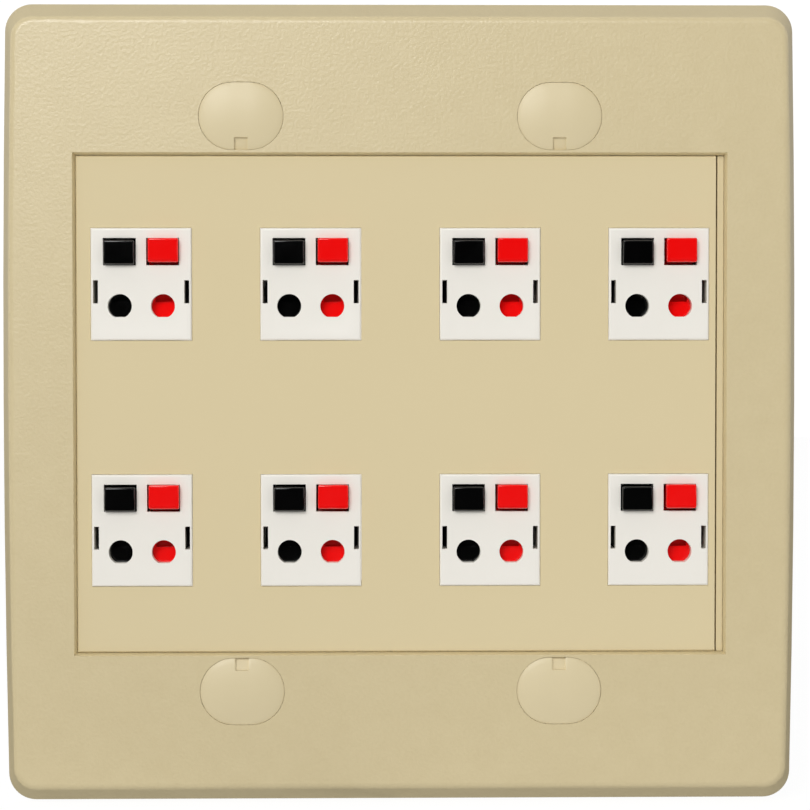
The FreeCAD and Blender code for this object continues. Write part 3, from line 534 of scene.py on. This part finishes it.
# Rear covers: matt black plastic plates that plug into the housings. The solder tabs pass through them, and
# their barbed arms show as black bars in the side slots of the face.

back_edge = 0.1 * mm

matt_black = moulded_plastic("matt_black_plastic", (0.022, 0.022, 0.022), (0.016, 0.016, 0.016), patch=5 * mm,
                             roughness=0.5, grain=0.3 * mm, depth=0.01 * mm, waviness=0.02 * mm)
for number in jacks:
    back = rounded(merged(f"jack_{number}_back", f"jack_{number}_rear_cover"), back_edge)
    finish_piece(back, matt_black, "plate", f"jack_{number}_back")

# Screw caps: smooth, domed ivory covers that snap into the pockets over the box screws. A notch towards the
# panel takes the screwdriver that lifts them.

cap_edge = 0.2 * mm
cap_growth = 0.1
cap_half_width, cap_half_height = 6.0, 4.75
notch_floor = -5.2
notch_ends = ((3.05, -0.65), (4.75, -0.3))

cap_ivory = moulded_plastic("cap_ivory_abs", (0.712, 0.608, 0.380), (0.690, 0.585, 0.358), patch=3 * mm,
                            roughness=0.42, grain=0.3 * mm, depth=0.004 * mm, waviness=0.02 * mm)
for place in ("upper_left", "upper_right", "lower_left", "lower_right"):
    cap = merged(f"cap_{place}", f"screw_cap_{place}")
    low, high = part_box(f"cap_{place}")
    x, z = (low.x + high.x) / 2 / mm, (low.z + high.z) / 2 / mm
    inward = -1 if z > 0 else 1
    for distance, rise in notch_ends:
        floor_z = z + inward * distance
        shift_corners(cap, (x - 1, notch_floor - 0.01, floor_z - 0.1),
                      (x + 1, notch_floor + 0.01, floor_z + 0.1), (0, rise, 0))
    for corner in cap.data.vertices:
        if -5.95 * mm < corner.co.y < -4.5 * mm:
            corner.co.x += cap_growth / cap_half_width * (corner.co.x - x * mm)
            corner.co.z += cap_growth / cap_half_height * (corner.co.z - z * mm)
    rounded(cap, cap_edge)
    finish_piece(cap, cap_ivory, "plate", f"cap_{place}")

# Floor and backdrop: plain white paper under and behind the plate. The floor keeps the soft shadow.

paper_reach = 1.2
backdrop_rise = 0.35
paper_white = (0.93, 0.93, 0.93)


def white_paper(name, seen_light, gloss_light, fill_light):
    """White paper that glows by itself: so much for the camera, for gloss and for the rest of the light."""
    material = bpy.data.materials.new(name)
    material.use_nodes = True
    nodes, links = material.node_tree.nodes, material.node_tree.links
    shader = nodes["Principled BSDF"]
    shader.inputs["Base Color"].default_value = (*paper_white, 1)
    shader.inputs["Roughness"].default_value = 0.9
    rays = nodes.new("ShaderNodeLightPath")
    surface = shader.outputs["BSDF"]
    glows = [
        ("Is Diffuse Ray", 1.0, fill_light),
        ("Is Glossy Ray", 1.0, gloss_light),
        ("Is Transmission Ray", 1.0, 1.0),
        ("Is Camera Ray", seen_light, 1.04),
    ]
    for kind, share, strength in glows:
        glow = nodes.new("ShaderNodeEmission")
        glow.inputs["Strength"].default_value = strength
        part = nodes.new("ShaderNodeMath")
        part.operation = "MULTIPLY"
        part.inputs[1].default_value = share
        links.new(rays.outputs[kind], part.inputs[0])
        mix = nodes.new("ShaderNodeMixShader")
        links.new(part.outputs[0], mix.inputs["Fac"])
        links.new(surface, mix.inputs[1])
        links.new(glow.outputs["Emission"], mix.inputs[2])
        surface = mix.outputs["Shader"]
    links.new(surface, nodes["Material Output"].inputs["Surface"])
    return material


def paper_sheet(name, place, turn, material):
    """A square of paper that belongs to the stage and not to the part."""
    bpy.ops.mesh.primitive_plane_add(size=2 * paper_reach, location=place, rotation=turn)
    sheet = bpy.context.active_object
    sheet.name = name
    sheet.data.materials.append(material)
    sheet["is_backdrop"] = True


floor_paper = white_paper("floor_paper", seen_light=0.9, gloss_light=0.03, fill_light=0.8)
backdrop_paper = white_paper("backdrop_paper", seen_light=1.0, gloss_light=0.3, fill_light=0.7)
paper_sheet("floor", (0, 0, cad_low.z - 0.1 * mm), (0, 0, 0), floor_paper)
paper_sheet("backdrop", (0, paper_reach, backdrop_rise), (pi / 2, 0, 0), backdrop_paper)

# Soft studio light: a window of light above and in front on the left, a weak one on the right, and a white
# room that darkens towards its front wall, behind the camera.

room_light = 0.68
dark_wall = 0.01
wall_dark_at = -0.97
wall_light_at = -0.1
lamps = [
    ("upper_window", (-0.26, -0.88, 0.46), 0.45, 6.6),
    ("right_window", (0.75, -0.60, 0.20), 0.6, 0.5),
]
for name, place, size, power in lamps:
    lamp = bpy.data.lights.new(name, "AREA")
    lamp.shape = "SQUARE"
    lamp.size = size
    lamp.energy = power
    holder = bpy.data.objects.new(name, lamp)
    holder.location = place
    holder.rotation_euler = (-Vector(place)).to_track_quat("-Z", "Y").to_euler()
    bpy.context.scene.collection.objects.link(holder)

room = bpy.data.worlds.new("white_room")
room.use_nodes = True
nodes, links = room.node_tree.nodes, room.node_tree.links
direction = nodes.new("ShaderNodeSeparateXYZ")
links.new(nodes.new("ShaderNodeTexCoord").outputs["Generated"], direction.inputs["Vector"])
wall = nodes.new("ShaderNodeMapRange")
wall.inputs["From Min"].default_value = wall_dark_at
wall.inputs["From Max"].default_value = wall_light_at
wall.inputs["To Min"].default_value = dark_wall
wall.inputs["To Max"].default_value = room_light
links.new(direction.outputs["Y"], wall.inputs["Value"])
nodes["Background"].inputs["Color"].default_value = (1, 1, 1, 1)
links.new(wall.outputs["Result"], nodes["Background"].inputs["Strength"])
bpy.context.scene.world = room

# Camera: almost square to the plate, a little above its middle and to its left.

camera = bpy.data.cameras.new("camera")
camera.lens = 113.29
camera.sensor_width = 36
camera.clip_start = 0.01
camera_stand = bpy.data.objects.new("camera", camera)
camera_stand.location = (-5.56 * mm, -375.0 * mm, 11.72 * mm)
camera_stand.rotation_euler = (radians(90 - 1.828), radians(0.036), radians(-0.964))
bpy.context.scene.collection.objects.link(camera_stand)
bpy.context.scene.camera = camera_stand
bpy.context.scene.view_settings.view_transform = "Standard"

low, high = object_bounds()
